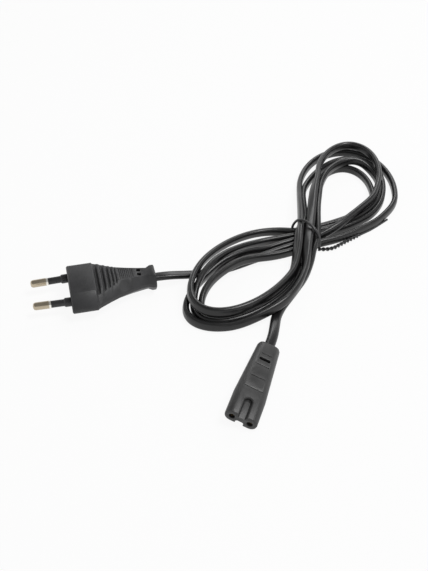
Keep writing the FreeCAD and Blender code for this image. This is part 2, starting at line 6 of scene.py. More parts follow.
# %% Load the solids
import bmesh
import bpy
import json
import math
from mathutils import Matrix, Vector


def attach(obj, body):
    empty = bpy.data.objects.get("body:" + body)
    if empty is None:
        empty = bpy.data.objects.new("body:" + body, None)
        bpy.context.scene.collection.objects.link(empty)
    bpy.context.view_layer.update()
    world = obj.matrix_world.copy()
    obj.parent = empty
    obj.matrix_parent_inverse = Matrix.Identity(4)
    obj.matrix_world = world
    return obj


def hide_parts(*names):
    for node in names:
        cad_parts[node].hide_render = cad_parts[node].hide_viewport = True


MILLIMETRE = 0.001


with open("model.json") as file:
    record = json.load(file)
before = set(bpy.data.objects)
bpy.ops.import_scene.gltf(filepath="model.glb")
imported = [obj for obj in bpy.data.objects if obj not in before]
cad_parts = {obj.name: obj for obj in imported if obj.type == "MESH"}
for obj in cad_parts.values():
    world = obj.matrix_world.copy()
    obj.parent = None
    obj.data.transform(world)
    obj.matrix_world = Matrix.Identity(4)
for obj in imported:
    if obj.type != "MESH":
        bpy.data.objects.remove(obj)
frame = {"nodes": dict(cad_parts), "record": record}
nodes = frame["nodes"]
scene = bpy.context.scene
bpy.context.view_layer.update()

# %% [markdown]
# The camera stands where the photographer stood: a little to the right of the lead and well above the
# table. A Track To constraint could aim it, but then a second object would have to be moved as well. Here
# its place follows from two angles and a distance, so each number can be read and changed by itself.

# %% Camera
VIEW_AZIMUTH = math.radians(17.89)
VIEW_ELEVATION = math.radians(41.1)
VIEW_DISTANCE = 0.4536
VIEW_TARGET = Vector((-0.0404, 0.0639, 0.0))
LENS = 54.47
SENSOR_WIDTH = 36.0


def add_object(name, data):
    """An object at the origin that shows some data."""
    made = bpy.data.objects.new(name, data)
    scene.collection.objects.link(made)
    return made


def aim(thing, place, direction):
    """Puts a camera or a lamp in its place and turns it to look along a direction."""
    thing.location = place
    thing.rotation_mode = "QUATERNION"
    thing.rotation_quaternion = direction.to_track_quat("-Z", "Y")


towards_camera = Vector((
    math.sin(VIEW_AZIMUTH) * math.cos(VIEW_ELEVATION),
    -math.cos(VIEW_AZIMUTH) * math.cos(VIEW_ELEVATION),
    math.sin(VIEW_ELEVATION),
))
camera_data = bpy.data.cameras.new("table_camera")
camera_data.lens = LENS
camera_data.sensor_width = SENSOR_WIDTH
camera = add_object("table_camera", camera_data)
aim(camera, VIEW_TARGET + towards_camera * VIEW_DISTANCE, -towards_camera)
scene.camera = camera
print("camera at", [round(c, 3) for c in camera.location])

# %% [markdown]
# The lead lies on a white table. Pouring on light would make the table white, but it would wash out the
# black plastic too. So the table's material asks what kind of ray has met it. Rays that show the table,
# straight or in a mirror, see mostly an even glow, and all others see matte paint. The light on the lead
# stays plain, and the table still darkens under the cord.

# %% Rays that show the table
RAYS_THAT_SHOW = ("Is Camera Ray", "Is Glossy Ray", "Is Transmission Ray")


def feed(tree, socket, value):
    """Links an input to another node's output, or sets it to a plain value."""
    if isinstance(value, bpy.types.NodeSocket):
        tree.links.new(value, socket)
    else:
        socket.default_value = value


def node(tree, kind, **inputs):
    """Adds a node and feeds its inputs by name, with an underscore for a space."""
    made = tree.nodes.new(kind)
    for name, value in inputs.items():
        feed(tree, made.inputs[name.replace("_", " ")], value)
    return made


def calculate(tree, operation, *terms):
    """The result of a Math node."""
    made = tree.nodes.new("ShaderNodeMath")
    made.operation = operation
    for socket, term in zip(made.inputs, terms):
        feed(tree, socket, term)
    return made.outputs[0]


def seen_directly(tree):
    """1 for rays that show a surface straight, in a mirror or through glass, and 0 for the rest."""
    path = node(tree, "ShaderNodeLightPath")
    straight, mirrored, through = [path.outputs[name] for name in RAYS_THAT_SHOW]
    return calculate(tree, "MAXIMUM", calculate(tree, "MAXIMUM", straight, mirrored), through)


print("rays that show the table:", ", ".join(RAYS_THAT_SHOW))

# %% Floor
FLOOR_SIZE = 3.0
FLOOR_GREY = (0.8, 0.8, 0.8, 1)
FLOOR_GLOW = 0.92
WHITE = (1, 1, 1, 1)
FULL_STRENGTH = 1.0


def empty_tree(owner):
    """The node tree of a material or a world, with nothing in it."""
    owner.use_nodes = True
    owner.node_tree.nodes.clear()
    return owner.node_tree


def mixed(tree, factor, first, second):
    """A mix of two shaders: only the first at a factor of 0, only the second at 1."""
    made = node(tree, "ShaderNodeMixShader", Fac=factor)
    tree.links.new(first.outputs[0], made.inputs[1])
    tree.links.new(second.outputs[0], made.inputs[2])
    return made.outputs[0]


half = FLOOR_SIZE / 2
corners = [(-half, -half, 0), (half, -half, 0), (half, half, 0), (-half, half, 0)]
floor_mesh = bpy.data.meshes.new("table_top")
floor_mesh.from_pydata(corners, [], [(0, 1, 2, 3)])
floor = add_object("table_top", floor_mesh)
white_table = bpy.data.materials.new("white_table")
table_tree = empty_tree(white_table)
matte = node(table_tree, "ShaderNodeBsdfDiffuse", Color=FLOOR_GREY)
glow = node(table_tree, "ShaderNodeEmission", Color=WHITE, Strength=FULL_STRENGTH)
glow_share = calculate(table_tree, "MULTIPLY", seen_directly(table_tree), FLOOR_GLOW)
node(table_tree, "ShaderNodeOutputMaterial", Surface=mixed(table_tree, glow_share, matte, glow))
floor_mesh.materials.append(white_table)
print("floor", FLOOR_SIZE, "m")

# %% [markdown]
# Black plastic shows its form by what it mirrors. In an even grey world it would look flat, so the world
# here is a plain room: white walls that fade to a grey ceiling, by the height of each direction. Two
# softboxes, which are square area lamps, add the soft shadow under the cord and the shine on its edges.

# %% White room with a grey ceiling
ROOM_LIGHT = 0.8
WALL_WHITE = 1.0
WALLS_END = 0.2
CEILING_START = 0.65
CEILING_GREY = 0.3


def spread(tree, factor, low, high, start=0.3, end=0.7):
    """A factor stretched between two colours, or two levels of grey."""
    ramp = node(tree, "ShaderNodeValToRGB", Fac=factor)
    for stop, place, value in zip(ramp.color_ramp.elements, (start, end), (low, high)):
        stop.position = place
        stop.color = value if isinstance(value, tuple) else (value, value, value, 1)
    return ramp.outputs["Color"]


room = bpy.data.worlds.new("white_room")
room_tree = empty_tree(room)
direction = node(room_tree, "ShaderNodeTexCoord").outputs["Generated"]
upward = node(room_tree, "ShaderNodeSeparateXYZ", Vector=direction).outputs["Z"]
walls = spread(room_tree, upward, WALL_WHITE, CEILING_GREY, WALLS_END, CEILING_START)
lit = node(room_tree, "ShaderNodeBackground", Color=walls, Strength=ROOM_LIGHT)
shown = node(room_tree, "ShaderNodeBackground", Color=walls, Strength=FULL_STRENGTH)
node(room_tree, "ShaderNodeOutputWorld", Surface=mixed(room_tree, seen_directly(room_tree), lit, shown))
scene.world = room
scene.view_settings.view_transform = "Standard"
print("room light", ROOM_LIGHT, "and ceiling", CEILING_GREY)

# %% Softboxes
MIDDLE_OF_LEAD = Vector((-0.03, 0.09, 0.01))
# Place and side in metres, and power in watts.
SOFTBOXES = {
    "key_softbox": ((0.4, 0.15, 0.95), 0.45, 6.5),
    "back_softbox": ((-0.1, 0.85, 0.6), 0.35, 1.4),
}

for name, (place, side, power) in SOFTBOXES.items():
    lamp_data = bpy.data.lights.new(name, "AREA")
    lamp_data.size = side
    lamp_data.energy = power
    aim(add_object(name, lamp_data), place, MIDDLE_OF_LEAD - Vector(place))
print("softboxes", len(SOFTBOXES))

# %% [markdown]
# Moulded PVC is never one flat colour. It has the fine grain of its spark-eroded mould, and cloudy patches
# where it cooled at different speeds. A picture could be wrapped round each piece, but it would have to be
# unwrapped and would stretch. Two noises in Object coordinates need no unwrapping: a fine one for the
# grain's bump, and a broad one for colour and roughness. One function makes the whole family.

# %% Building blocks of a finish
CLOUD_DETAIL = 3.0
GRAIN_DETAIL = 2.0


def empty_material(name):
    """A material with nothing but a shader and its output."""
    made = bpy.data.materials.new(name)
    tree = empty_tree(made)
    shader = node(tree, "ShaderNodeBsdfPrincipled")
    node(tree, "ShaderNodeOutputMaterial", Surface=shader.outputs[0])
    return made, tree, shader


def noise(tree, coordinates, size, detail=CLOUD_DETAIL):
    """A noise whose spots are about a given size."""
    made = node(tree, "ShaderNodeTexNoise", Vector=coordinates, Scale=1 / size, Detail=detail)
    return made.outputs["Fac"]


def bump(tree, height, depth, strength, below=None):
    """A bump of a given depth in metres, on top of another if there is one."""
    made = node(tree, "ShaderNodeBump", Strength=strength, Distance=depth, Height=height)
    if below:
        tree.links.new(below, made.inputs["Normal"])
    return made.outputs["Normal"]


print("noise detail", CLOUD_DETAIL, "for clouds and", GRAIN_DETAIL, "for grain")

# %% Moulded plastic finishes
PATCH_SIZE = 6 * MILLIMETRE
GRAIN_STRENGTH = 0.5
# Dark and light colour, least and most roughness, and the grain's size and depth in millimetres.
MOULDED = {
    "connector_pvc": ((0.024, 0.024, 0.024), (0.034, 0.034, 0.034), (0.36, 0.46), 0.35, 0.03),
    "plug_pvc": ((0.02, 0.02, 0.021), (0.03, 0.03, 0.032), (0.38, 0.5), 0.4, 0.03),
    "sleeve_nylon": ((0.014, 0.014, 0.015), (0.02, 0.02, 0.022), (0.3, 0.4), 0.3, 0.01),
    "insert_nylon": ((0.7, 0.68, 0.62), (0.78, 0.76, 0.7), (0.4, 0.5), 0.5, 0.02),
    "core_brown": ((0.2, 0.09, 0.035), (0.25, 0.115, 0.045), (0.35, 0.45), 0.4, 0.01),
    "core_blue": ((0.025, 0.1, 0.36), (0.035, 0.13, 0.43), (0.35, 0.45), 0.4, 0.01),
}


def moulded_plastic(name, dark, light, rough, grain, depth):
    """Satin moulded plastic with a fine grain and cloudy patches."""
    made, tree, shader = empty_material(name)
    place = node(tree, "ShaderNodeTexCoord").outputs["Object"]
    patches = noise(tree, place, PATCH_SIZE)
    sparks = noise(tree, place, grain * MILLIMETRE, GRAIN_DETAIL)
    feed(tree, shader.inputs["Base Color"], spread(tree, patches, (*dark, 1), (*light, 1)))
    feed(tree, shader.inputs["Roughness"], spread(tree, patches, *rough))
    feed(tree, shader.inputs["Normal"], bump(tree, sparks, depth * MILLIMETRE, GRAIN_STRENGTH))
    return made


finishes = {name: moulded_plastic(name, *recipe) for name, recipe in MOULDED.items()}
print("plastic finishes", sorted(MOULDED))

# %% [markdown]
# The pins are turned brass with a thin nickel coat. Where they leave their sleeves a near-white band is
# painted into their colour as a painted highlight. The hidden sockets are bare brass and the strands bare
# copper. A turned part shows fine rings round its axis.
# They could be cut as grooves, but they are too fine for a mesh, so a wave pattern gives them as a bump. A
# Mapping node turns the pattern so that it runs along the part.

# %% Turned metal finishes
PLUG_YAW = math.radians(31.0)
PLUG_FACE = Vector((-0.1072, 0.0306, 0.0))
CONNECTOR_YAW = math.pi / 2
FULL_TURN = 2 * math.pi
STAIN_SIZE = 3 * MILLIMETRE
STAIN_SHADE = 0.88
SMOOTHER = 0.8
ROUGHER = 1.25
RING_WOBBLE = 1.5
RING_DEPTH = 0.01 * MILLIMETRE
RING_STRENGTH = 0.25
# The painted highlight on the pins: the band's middle, from the plug's face, half its length, and its
# near-white colour.
PAINTED_GLINT_BAND = (-10.5 * MILLIMETRE, 0.5 * MILLIMETRE, (0.92, 0.9, 0.84, 1))
# Colour, roughness, spacing of the rings in millimetres, heading, and for the pins a start and a painted
# highlight band.
TURNED = {
    "pin_nickel": ((0.52, 0.45, 0.34), 0.18, 0.25, PLUG_YAW, PLUG_FACE, PAINTED_GLINT_BAND),
    "socket_brass": ((0.75, 0.56, 0.26), 0.28, 0.25, CONNECTOR_YAW),
    "strand_copper": ((0.78, 0.42, 0.25), 0.35, 0.2, CONNECTOR_YAW),
}


def with_painted_glint(tree, along, hue, glint_band):
    """A colour with a band of painted highlight across it, a near-white glint painted into the colour."""
    middle, half_length, colour = glint_band
    distance = node(tree, "ShaderNodeSeparateXYZ", Vector=along).outputs["X"]
    inside = calculate(tree, "COMPARE", distance, middle, half_length)
    return node(tree, "ShaderNodeMixRGB", Fac=inside, Color1=hue, Color2=colour).outputs["Color"]


def turned_metal(name, colour, rough, spacing, heading, start=Vector((0, 0, 0)), glint_band=None):
    """Metal with turning rings along a heading in the table's plane, counted from a start."""
    made, tree, shader = empty_material(name)
    place = node(tree, "ShaderNodeTexCoord").outputs["Object"]
    ahead = start.x * math.cos(heading) + start.y * math.sin(heading)
    turned = node(tree, "ShaderNodeMapping", Vector=place, Rotation=(0, 0, -heading),
                  Location=(-ahead, 0, 0))
    along = turned.outputs[0]
    ring_scale = 1 / (spacing * MILLIMETRE) / FULL_TURN
    rings = node(tree, "ShaderNodeTexWave", Vector=along, Scale=ring_scale, Distortion=RING_WOBBLE,
                 Detail=GRAIN_DETAIL)
    stain = noise(tree, place, STAIN_SIZE)
    shade = tuple(STAIN_SHADE * c for c in colour)
    hue = spread(tree, stain, (*shade, 1), (*colour, 1))
    # A near-white band painted into the colour stands in for the highlight on the pins.
    if glint_band:
        hue = with_painted_glint(tree, along, hue, glint_band)
    feed(tree, shader.inputs["Base Color"], hue)
    feed(tree, shader.inputs["Roughness"], spread(tree, stain, rough * SMOOTHER, rough * ROUGHER))
    feed(tree, shader.inputs["Normal"], bump(tree, rings.outputs["Fac"], RING_DEPTH, RING_STRENGTH))
    feed(tree, shader.inputs["Metallic"], 1.0)
    return made


for name, recipe in TURNED.items():
    finishes[name] = turned_metal(name, *recipe)
print("metal finishes", sorted(TURNED))

# %% [markdown]
# The cord's sheath is extruded: soft plastic is pressed through a die, which leaves faint streaks along
# the cord. In Object coordinates such streaks would run straight on where the cord bends. So this finish
# reads the cord's own UV map, with u in metres along the cord and v once round it. The tie's coat is made
# in the same way and shares the recipe.

# %% Extruded cord and tie finishes
STREAKS_ROUND = 24.0
STREAK_SPOT = 1.0
STREAK_STRENGTH = 0.35
CLOUD_SIZE = 9 * MILLIMETRE
PORE_SIZE = 0.25 * MILLIMETRE
PORE_STRENGTH = 0.15
# Dark and light colour, least and most roughness, and the streaks' length and depth in millimetres.
EXTRUDED = {
    "cord_pvc": ((0.005, 0.005, 0.0052), (0.009, 0.009, 0.0094), (0.26, 0.34), 40, 0.02),
    "tie_pvc": ((0.03, 0.03, 0.031), (0.05, 0.05, 0.052), (0.24, 0.34), 6, 0.01),
}


def extruded_plastic(name, dark, light, rough, streak, depth):
    """Soft PVC with streaks along its length, read from the piece's UV map."""
    made, tree, shader = empty_material(name)
    place = node(tree, "ShaderNodeTexCoord")
    stretch = (1 / (streak * MILLIMETRE), STREAKS_ROUND, 1.0)
    flow = node(tree, "ShaderNodeMapping", Vector=place.outputs["UV"], Scale=stretch)
    streaks = noise(tree, flow.outputs[0], STREAK_SPOT)
    clouds = noise(tree, place.outputs["Object"], CLOUD_SIZE)
    pores = noise(tree, place.outputs["Object"], PORE_SIZE, GRAIN_DETAIL)
    lengthwise = bump(tree, streaks, depth * MILLIMETRE, STREAK_STRENGTH)
    feed(tree, shader.inputs["Base Color"], spread(tree, clouds, (*dark, 1), (*light, 1)))
    feed(tree, shader.inputs["Roughness"], spread(tree, streaks, *rough))
    feed(tree, shader.inputs["Normal"], bump(tree, pores, depth * MILLIMETRE, PORE_STRENGTH, lengthwise))
    return made


for name, recipe in EXTRUDED.items():
    finishes[name] = extruded_plastic(name, *recipe)
print("finishes in all", len(finishes))

# %% [markdown]
# Most of the solids are hidden inside the two mouldings: sockets, cores, strands and the stiff inserts
# that hold them. They get their real finishes too, for whoever takes the lead apart later. Choosing each
# material by hand would be slow, but the record names a slot for every solid and the finishes carry the
# same names, so one loop dresses them all.

# %% Finishes onto the solids
slot_of = {part["node"]: part["material_slot"] for part in frame["record"]["subparts"]}
for name, solid in nodes.items():
    solid.data.materials.clear()
    solid.data.materials.append(finishes[slot_of[name]])
print("dressed", len(slot_of), "solids")

# %% [markdown]
# The cord is one line from end to end. It leaves the connector, winds round both lobes of the hank,
# crosses itself at the tied waist and runs to the plug. A physics run could let a cord fall, but it would
# never fall into a wound hank. So the line is given point by point, in millimetres, and its two free ends
# are short lists of points.

# %% Free ends of the cord
# Each point is x, y, height and roll: 0 where the flat cord lies flat and 90 where it stands on edge.
CONNECTOR_END = [
    (0.0, 7.4, 4.82, -18), (0.0, 15.2, 4.82, -18), (0.0, 23.2, 4.82, -18), (0.0, 31.2, 4.82, -18),
    (-1.2, 39.5, 4.0, -8), (-2.7, 48.0, 2.4, 0), (-2.2, 57.0, 1.8, 8), (1.3, 67.5, 2.45, 52),
    (4.2, 80.0, 2.6, 80), (4.8, 92.0, 3.8, 80),
]
PLUG_END = [
    (-20.6, 93.4, 2.6, 90), (-28.0, 86.0, 2.6, 80), (-35.0, 79.4, 2.3, 40), (-42.0, 73.6, 1.65, 0),
    (-49.6, 67.6, 2.4, 0), (-55.8, 62.6, 4.4, 0), (-62.3, 57.6, 6.5, 0), (-69.1, 53.5, 6.85, 0),
    (-75.5, 49.65, 6.85, 0), (-81.9, 45.8, 6.85, 0),
]
print("free ends", len(CONNECTOR_END), "and", len(PLUG_END), "points")

# %% [markdown]
# Winding a hank lays one oval after another, each a little off the last. Listing all their points would
# be long and hard to change. So each turn is an oval with a middle, a heading, half its length and half
# its breadth, and a short list of heights, because strands ride over one another.

# %% Turns of the hank
# Middle, heading, half length, half breadth, first and last angle, and heights at angles round the turn.
LOWER_TURNS = {
    "outer": ((-18.4, 68.1), 55, 43.0, 23.0, (58, 268),
              [(58, 2.8), (70, 5.4), (84, 6.8), (98, 6.4), (110, 4.3), (122, 2.7), (132, 2.6),
               (228, 2.6), (246, 5.2), (268, 7.6)]),
    "second": ((-22.0, 72.3), 68, 41.0, 21.0, (48, 278),
               [(48, 2.6), (66, 4.4), (86, 7.4), (100, 8.4), (112, 8.7), (120, 8.5), (130, 7.2),
                (143, 4.0), (153, 2.7), (278, 2.8)]),
    "crossing": ((-25.2, 75.5), 73, 42.0, 23.1, (40, 284),
                 [(40, 3.2), (70, 5.0), (92, 6.8), (112, 8.4), (284, 8.6)]),
    "inner": ((-21.6, 65.5), 62, 31.8, 15.0, (62, 274),
              [(62, 5.6), (80, 7.4), (130, 7.4), (160, 3.4), (172, 2.6), (274, 2.6)]),
}
UPPER_TURNS = {
    "inner": ((11.3, 165.6), -92, 28.0, 17.3, (62, 285),
              [(62, 7.2), (84, 6.4), (104, 7.9), (170, 7.9), (190, 6.0), (208, 3.2), (222, 2.6),
               (285, 2.6)]),
    "riding": ((8.0, 176.0), -82, 33.0, 18.4, (75, 290), [(75, 10.6), (100, 9.4), (130, 8.3), (290, 8.4)]),
    "low": ((8.9, 159.4), -80, 31.5, 17.4, (70, 276), [(70, 3.4), (84, 2.6), (276, 2.6)]),
    "outer": ((9.4, 166.8), -78, 43.0, 28.6, (78, 285), [(78, 4.8), (92, 3.0), (104, 2.6), (285, 2.6)]),
    "second": ((7.6, 160.6), -93, 41.6, 23.1, (84, 270), [(84, 2.7), (96, 2.6), (270, 2.6)]),
}
print("turns", len(LOWER_TURNS), "and", len(UPPER_TURNS))

# %% Points round a turn
POINTS_PER_TURN = 12


def height_at(heights, angle):
    """A height between the two nearest stated angles."""
    for (start, low), (end, high) in zip(heights, heights[1:]):
        if angle <= end:
            return low + (high - low) * (angle - start) / (end - start)
    return heights[-1][1]


def turn_points(turn, sense, roll):
    """Points round most of an oval turn, with a sense of 1 or -1 for the side it sets out to."""
    (x, y), heading, half_length, half_breadth, (first, last), heights = turn
    yaw = math.radians(heading)
    points = []
    for index in range(POINTS_PER_TURN):
        angle = first + (last - first) * index / (POINTS_PER_TURN - 1)
        along = half_length * math.cos(math.radians(angle))
        across = sense * half_breadth * math.sin(math.radians(angle))
        points.append((x + along * math.cos(yaw) - across * math.sin(yaw),
                       y + along * math.sin(yaw) + across * math.cos(yaw),
                       height_at(heights, angle), roll))
    return points


print("points on each turn", POINTS_PER_TURN)

# %% [markdown]
# At the waist five strands come up from the lower lobe and pass over five that come back from the upper
# one. Most of the upper strands turn flat under the tie's pull, while the lower ones stay on edge on the
# table. No oval fits here, so these strands are lists of points again. A last list tells in which order
# the cord takes them.

# %% Strands at the waist
OVER = {
    "left": [(-2.2, 92.0, 9.4, 90), (-4.4, 104.0, 10.6, 86), (-6.9, 116.0, 10.4, 78),
             (-10.0, 129.0, 9.3, 76), (-13.8, 143.0, 7.0, 86)],
    "top": [(3.4, 66.0, 8.0, 88), (4.0, 80.0, 8.4, 70), (2.2, 91.0, 9.4, 35), (0.2, 102.0, 10.0, 10),
            (-1.4, 114.0, 10.2, 0), (-3.4, 126.0, 10.8, 8), (-5.9, 140.0, 11.0, 18),
            (-8.0, 153.0, 11.0, 45)],
    "right": [(3.4, 102.5, 5.8, 60), (2.8, 113.0, 7.1, 8), (0.4, 124.0, 7.8, 45), (-2.0, 137.0, 8.0, 85)],
    "low_left": [(-2.8, 74.0, 2.7, 90), (-3.2, 88.0, 4.8, 75), (-4.8, 101.0, 6.8, 35),
                 (-7.0, 115.2, 7.1, 0), (-7.4, 127.0, 6.2, 45), (-9.8, 138.0, 4.2, 80)],
    "low_middle": [(1.0, 84.0, 3.2, 85), (0.2, 95.0, 5.2, 60), (-0.8, 104.0, 6.7, 25),
                   (-2.1, 114.0, 7.1, 0), (-3.4, 126.0, 7.0, 40), (-6.0, 138.0, 4.6, 80)],
}
# These all stand on edge, so they have no roll of their own.
UNDER = {
    "far": [(18.0, 142.7, 2.6), (12.6, 136.6, 2.6), (4.2, 128.4, 2.6), (-9.1, 117.4, 3.2),
            (-18.6, 116.0, 3.0)],
    "behind": [(24.2, 148.0, 2.6), (19.7, 140.6, 2.6), (14.3, 133.9, 2.6), (6.2, 126.0, 2.6),
               (-6.0, 115.9, 3.2), (-17.0, 109.4, 2.6)],
    "middle": [(27.6, 147.3, 2.6), (22.4, 139.3, 2.6), (16.8, 132.1, 2.6), (8.6, 124.1, 2.6),
               (-3.0, 114.4, 3.2), (-15.4, 104.4, 2.6)],
    "falling": [(26.4, 156.5, 8.4), (21.4, 144.2, 8.2), (15.9, 132.4, 7.8), (10.2, 122.6, 6.4),
                (0.6, 113.2, 3.4), (-14.2, 100.0, 2.6)],
    "near": [(32.9, 144.1, 2.6), (27.3, 135.6, 2.6), (21.2, 127.8, 2.6), (13.2, 119.1, 2.6),
             (3.6, 110.9, 3.2), (-12.8, 95.8, 2.6)],
}
print(len(OVER), "strands over", len(UNDER))

# %% Order of the strands
ON_EDGE = 90
# Loose cord on edge leans a little: the roll of each lower turn whose top edge leans inwards.
LEAN = {"crossing": 104, "second": 108, "outer": 100}
# Over the waist, upper turn, under the waist, lower turn.
LAY = [
    ("right", "inner", "behind", "second"),
    ("low_middle", "low", "far", "crossing"),
    ("left", "outer", "near", "inner"),
    ("low_left", "second", "middle", "outer"),
    ("top", "riding", "falling", None),
]

route = list(CONNECTOR_END)
for over, upper, under, lower in LAY:
    route += OVER[over]
    route += turn_points(UPPER_TURNS[upper], -1, ON_EDGE)
    route += [(*place, ON_EDGE) for place in UNDER[under]]
    if lower:
        route += turn_points(LOWER_TURNS[lower], 1, LEAN.get(lower, ON_EDGE))
route += PLUG_END
print("points on the cord's route", len(route))

# %% [markdown]
# A NURBS spline takes those points as control points and runs close by them without a kink. Straight
# pieces would show corners, and Bezier handles would double the numbers. The roll is a second spline of
# the same kind, whose height is the roll angle, so both are read at the same places.

# %% Smooth line of the cord
SAMPLES_PER_POINT = 8
CURVE_ORDER = 3


def nurbs_curve(name, points, steps, closed=False):
    """A smooth curve led by a list of control points, read at a number of steps for each."""
    data = bpy.data.curves.new(name, "CURVE")
    data.dimensions = "3D"
    spline = data.splines.new("NURBS")
    spline.points.add(len(points) - 1)
    for control, place in zip(spline.points, points):
        control.co = (*place, 1.0)
    spline.order_u = CURVE_ORDER
    spline.use_cyclic_u = closed
    spline.use_endpoint_u = not closed
    spline.resolution_u = steps
    return data


def plain_mesh(holder):
    """The finished mesh of a curve object, which is then deleted with its curve and modifiers."""
    graph = bpy.context.evaluated_depsgraph_get()
    mesh = bpy.data.meshes.new_from_object(holder.evaluated_get(graph))
    data = holder.data
    holder.modifiers.clear()
    bpy.data.objects.remove(holder)
    bpy.data.curves.remove(data)
    return mesh


def smooth_line(name, points):
    """Points read from an open NURBS curve."""
    mesh = plain_mesh(add_object(name, nurbs_curve(name, points, SAMPLES_PER_POINT)))
    samples = [vertex.co.copy() for vertex in mesh.vertices]
    bpy.data.meshes.remove(mesh)
    return samples


cord_line = smooth_line("cord_line", [Vector(point[:3]) * MILLIMETRE for point in route])
roll_line = smooth_line("cord_roll", [(index, 0.0, point[3]) for index, point in enumerate(route)])
cord_rolls = [math.radians(sample.z) for sample in roll_line]
cord_length = sum((b - a).length for a, b in zip(cord_line, cord_line[1:]))
print("cord samples", len(cord_line), "length %.3f m" % cord_length)

# %% [markdown]
# The sheath is a flat tube with round edges. A curve's bevel could sweep it, but the flat side has to turn
# by a chosen angle at each place, so the rings are set one by one: the wide direction of a ring is the
# level direction across the cord, turned upwards by the roll. The UV map for the streaks is laid at the
# same time.

# %% Rings of the sheath
CORD_WIDTH = 5.2 * MILLIMETRE
CORD_THICKNESS = 3.2 * MILLIMETRE
EDGE_STEPS = 9


def flat_outline():
    """The cord's section: two half circles, as pairs of wide and thin distances."""
    radius = CORD_THICKNESS / 2
    offset = CORD_WIDTH / 2 - radius
    outline = []
    for side in (1, -1):
        for step in range(EDGE_STEPS):
            turn = math.pi * step / (EDGE_STEPS - 1) - math.pi / 2
            outline.append((side * (offset + radius * math.cos(turn)), side * radius * math.sin(turn)))
    return outline


def ring_directions(line, rolls):
    """For each sample, the tube's wide and thin directions."""
    pairs = []
    up = Vector((0, 0, 1))
    for index, roll in enumerate(rolls):
        before = line[max(0, index - 1)]
        after = line[min(len(line) - 1, index + 1)]
        along = (after - before).normalized()
        side = along.cross(up).normalized()
        rise = side.cross(along)
        wide = side * math.cos(roll) + rise * math.sin(roll)
        pairs.append((wide, wide.cross(along)))
    return pairs


cord_outline = flat_outline()
cord_directions = ring_directions(cord_line, cord_rolls)
print("rings", len(cord_directions), "of", len(cord_outline), "points")

# %% Sheath of the cord
def piece_from(name, mesh, finish):
    """An object made from a finished bmesh, in one finish."""
    data = bpy.data.meshes.new(name)
    mesh.to_mesh(data)
    mesh.free()
    data.materials.append(finish)
    return add_object(name, data)


def tube_object(name, line, directions, outline, finish):
    """A closed tube along a line, with a UV map of metres along and turns round."""
    count = len(outline)
    mesh = bmesh.new()
    uv = mesh.loops.layers.uv.new("UVMap")
    rings = []
    for place, (wide, thin) in zip(line, directions):
        rings.append([mesh.verts.new(place + wide * a + thin * b) for a, b in outline])
    travelled = 0.0
    for index, (here, there) in enumerate(zip(rings, rings[1:])):
        ahead = travelled + (line[index + 1] - line[index]).length
        for side in range(count):
            after = (side + 1) % count
            face = mesh.faces.new((here[side], here[after], there[after], there[side]))
            face.smooth = True
            places = [(travelled, side), (travelled, side + 1), (ahead, side + 1), (ahead, side)]
            for loop, (u, v) in zip(face.loops, places):
                loop[uv].uv = (u, v / count)
        travelled = ahead
    mesh.faces.new(rings[0][::-1])
    mesh.faces.new(rings[-1])
    bmesh.ops.recalc_face_normals(mesh, faces=mesh.faces)
    return piece_from(name, mesh, finish)


cord = tube_object("flat_cord", cord_line, cord_directions, cord_outline, finishes["cord_pvc"])
print("cord faces", len(cord.data.polygons))

# %% [markdown]
# The tie is a thin wire in a plastic coat. One loop goes round the waist, its two ends are twisted
# together beside the hank, and one loose tip runs on. A wire along a path follows a rule, so Geometry Nodes
# make it: a profile of one or two small circles is swept along the path. Turning the path's tilt evenly
# twists the pair, which would be hard to draw by hand.

# %% Profile and path of the wire
WIRE_SIDES = 12
WIRE_STEP = 0.35 * MILLIMETRE
# How far each wire of the pair lies from the middle, in radii: just under 1, so that they touch.
PAIR_OFFSET = 0.96


def wire_profile(group, start):
    """A circle, or two circles side by side where Pair is on."""
    radius = start.outputs["Wire radius"]
    circle = node(group, "GeometryNodeCurvePrimitiveCircle", Resolution=WIRE_SIDES, Radius=radius)
    both = group.nodes.new("GeometryNodeJoinGeometry")
    for side in (1, -1):
        offset = calculate(group, "MULTIPLY", radius, PAIR_OFFSET * side)
        place = node(group, "ShaderNodeCombineXYZ", X=offset)
        moved = node(group, "GeometryNodeTransform", Geometry=circle.outputs["Curve"],
                     Translation=place.outputs[0])
        group.links.new(moved.outputs[0], both.inputs[0])
    profile = group.nodes.new("GeometryNodeSwitch")
    profile.input_type = "GEOMETRY"
    group.links.new(start.outputs["Pair"], profile.inputs["Switch"])
    group.links.new(circle.outputs["Curve"], profile.inputs["False"])
    group.links.new(both.outputs[0], profile.inputs["True"])
    return profile.outputs[0]


def twisted_path(group, start):
    """The object's path in short steps, tilted evenly by a number of turns."""
    fine = group.nodes.new("GeometryNodeResampleCurve")
    fine.mode = "LENGTH"
    feed(group, fine.inputs["Length"], WIRE_STEP)
    feed(group, fine.inputs["Curve"], start.outputs["Geometry"])
    share = node(group, "GeometryNodeSplineParameter").outputs["Factor"]
    turning = calculate(group, "MULTIPLY", share, start.outputs["Turns"])
    angle = calculate(group, "MULTIPLY", turning, FULL_TURN)
    return node(group, "GeometryNodeSetCurveTilt", Curve=fine.outputs[0], Tilt=angle).outputs[0]


print("wire of", WIRE_SIDES, "sides in steps of %.2f mm" % (WIRE_STEP / MILLIMETRE))

# %% Tie's node tree
WIRE_INPUTS = {
    "Geometry": "NodeSocketGeometry",
    "Wire radius": "NodeSocketFloat",
    "Pair": "NodeSocketBool",
    "Turns": "NodeSocketFloat",
    "Finish": "NodeSocketMaterial",
}


